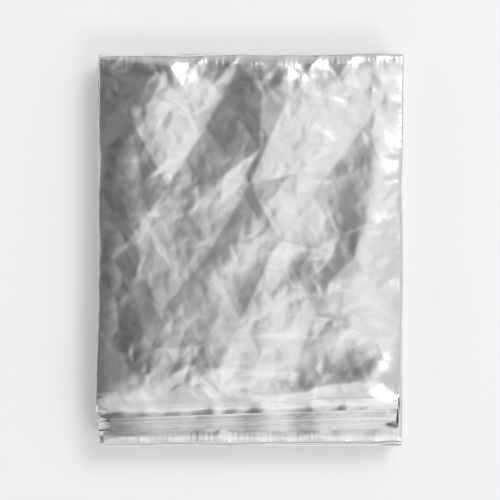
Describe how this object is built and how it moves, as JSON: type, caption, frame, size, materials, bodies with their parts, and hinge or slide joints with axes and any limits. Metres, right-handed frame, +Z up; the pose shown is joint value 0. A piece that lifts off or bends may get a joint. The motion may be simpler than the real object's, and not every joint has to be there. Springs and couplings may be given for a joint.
{
  "type": "folded emergency foil blanket",
  "caption": "Silver metallised film blanket folded back and forth into a flat pocket-size packet, lying on its underside.",
  "frame": {"origin": "middle of the packet's flat underside, at the middle of its outline", "axes": "+X across the packet, along its folds; +Y along the packet, away from the upper free end; +Z up, through the stacked panels"},
  "size_m": [0.0836, 0.1074, 0.0157],
  "materials": {
    "foil_film": "bright, finely creased metallised film"
  },
  "bodies": {
    "root": {"foil_blanket": "foil_film"}
  },
  "joints": []
}
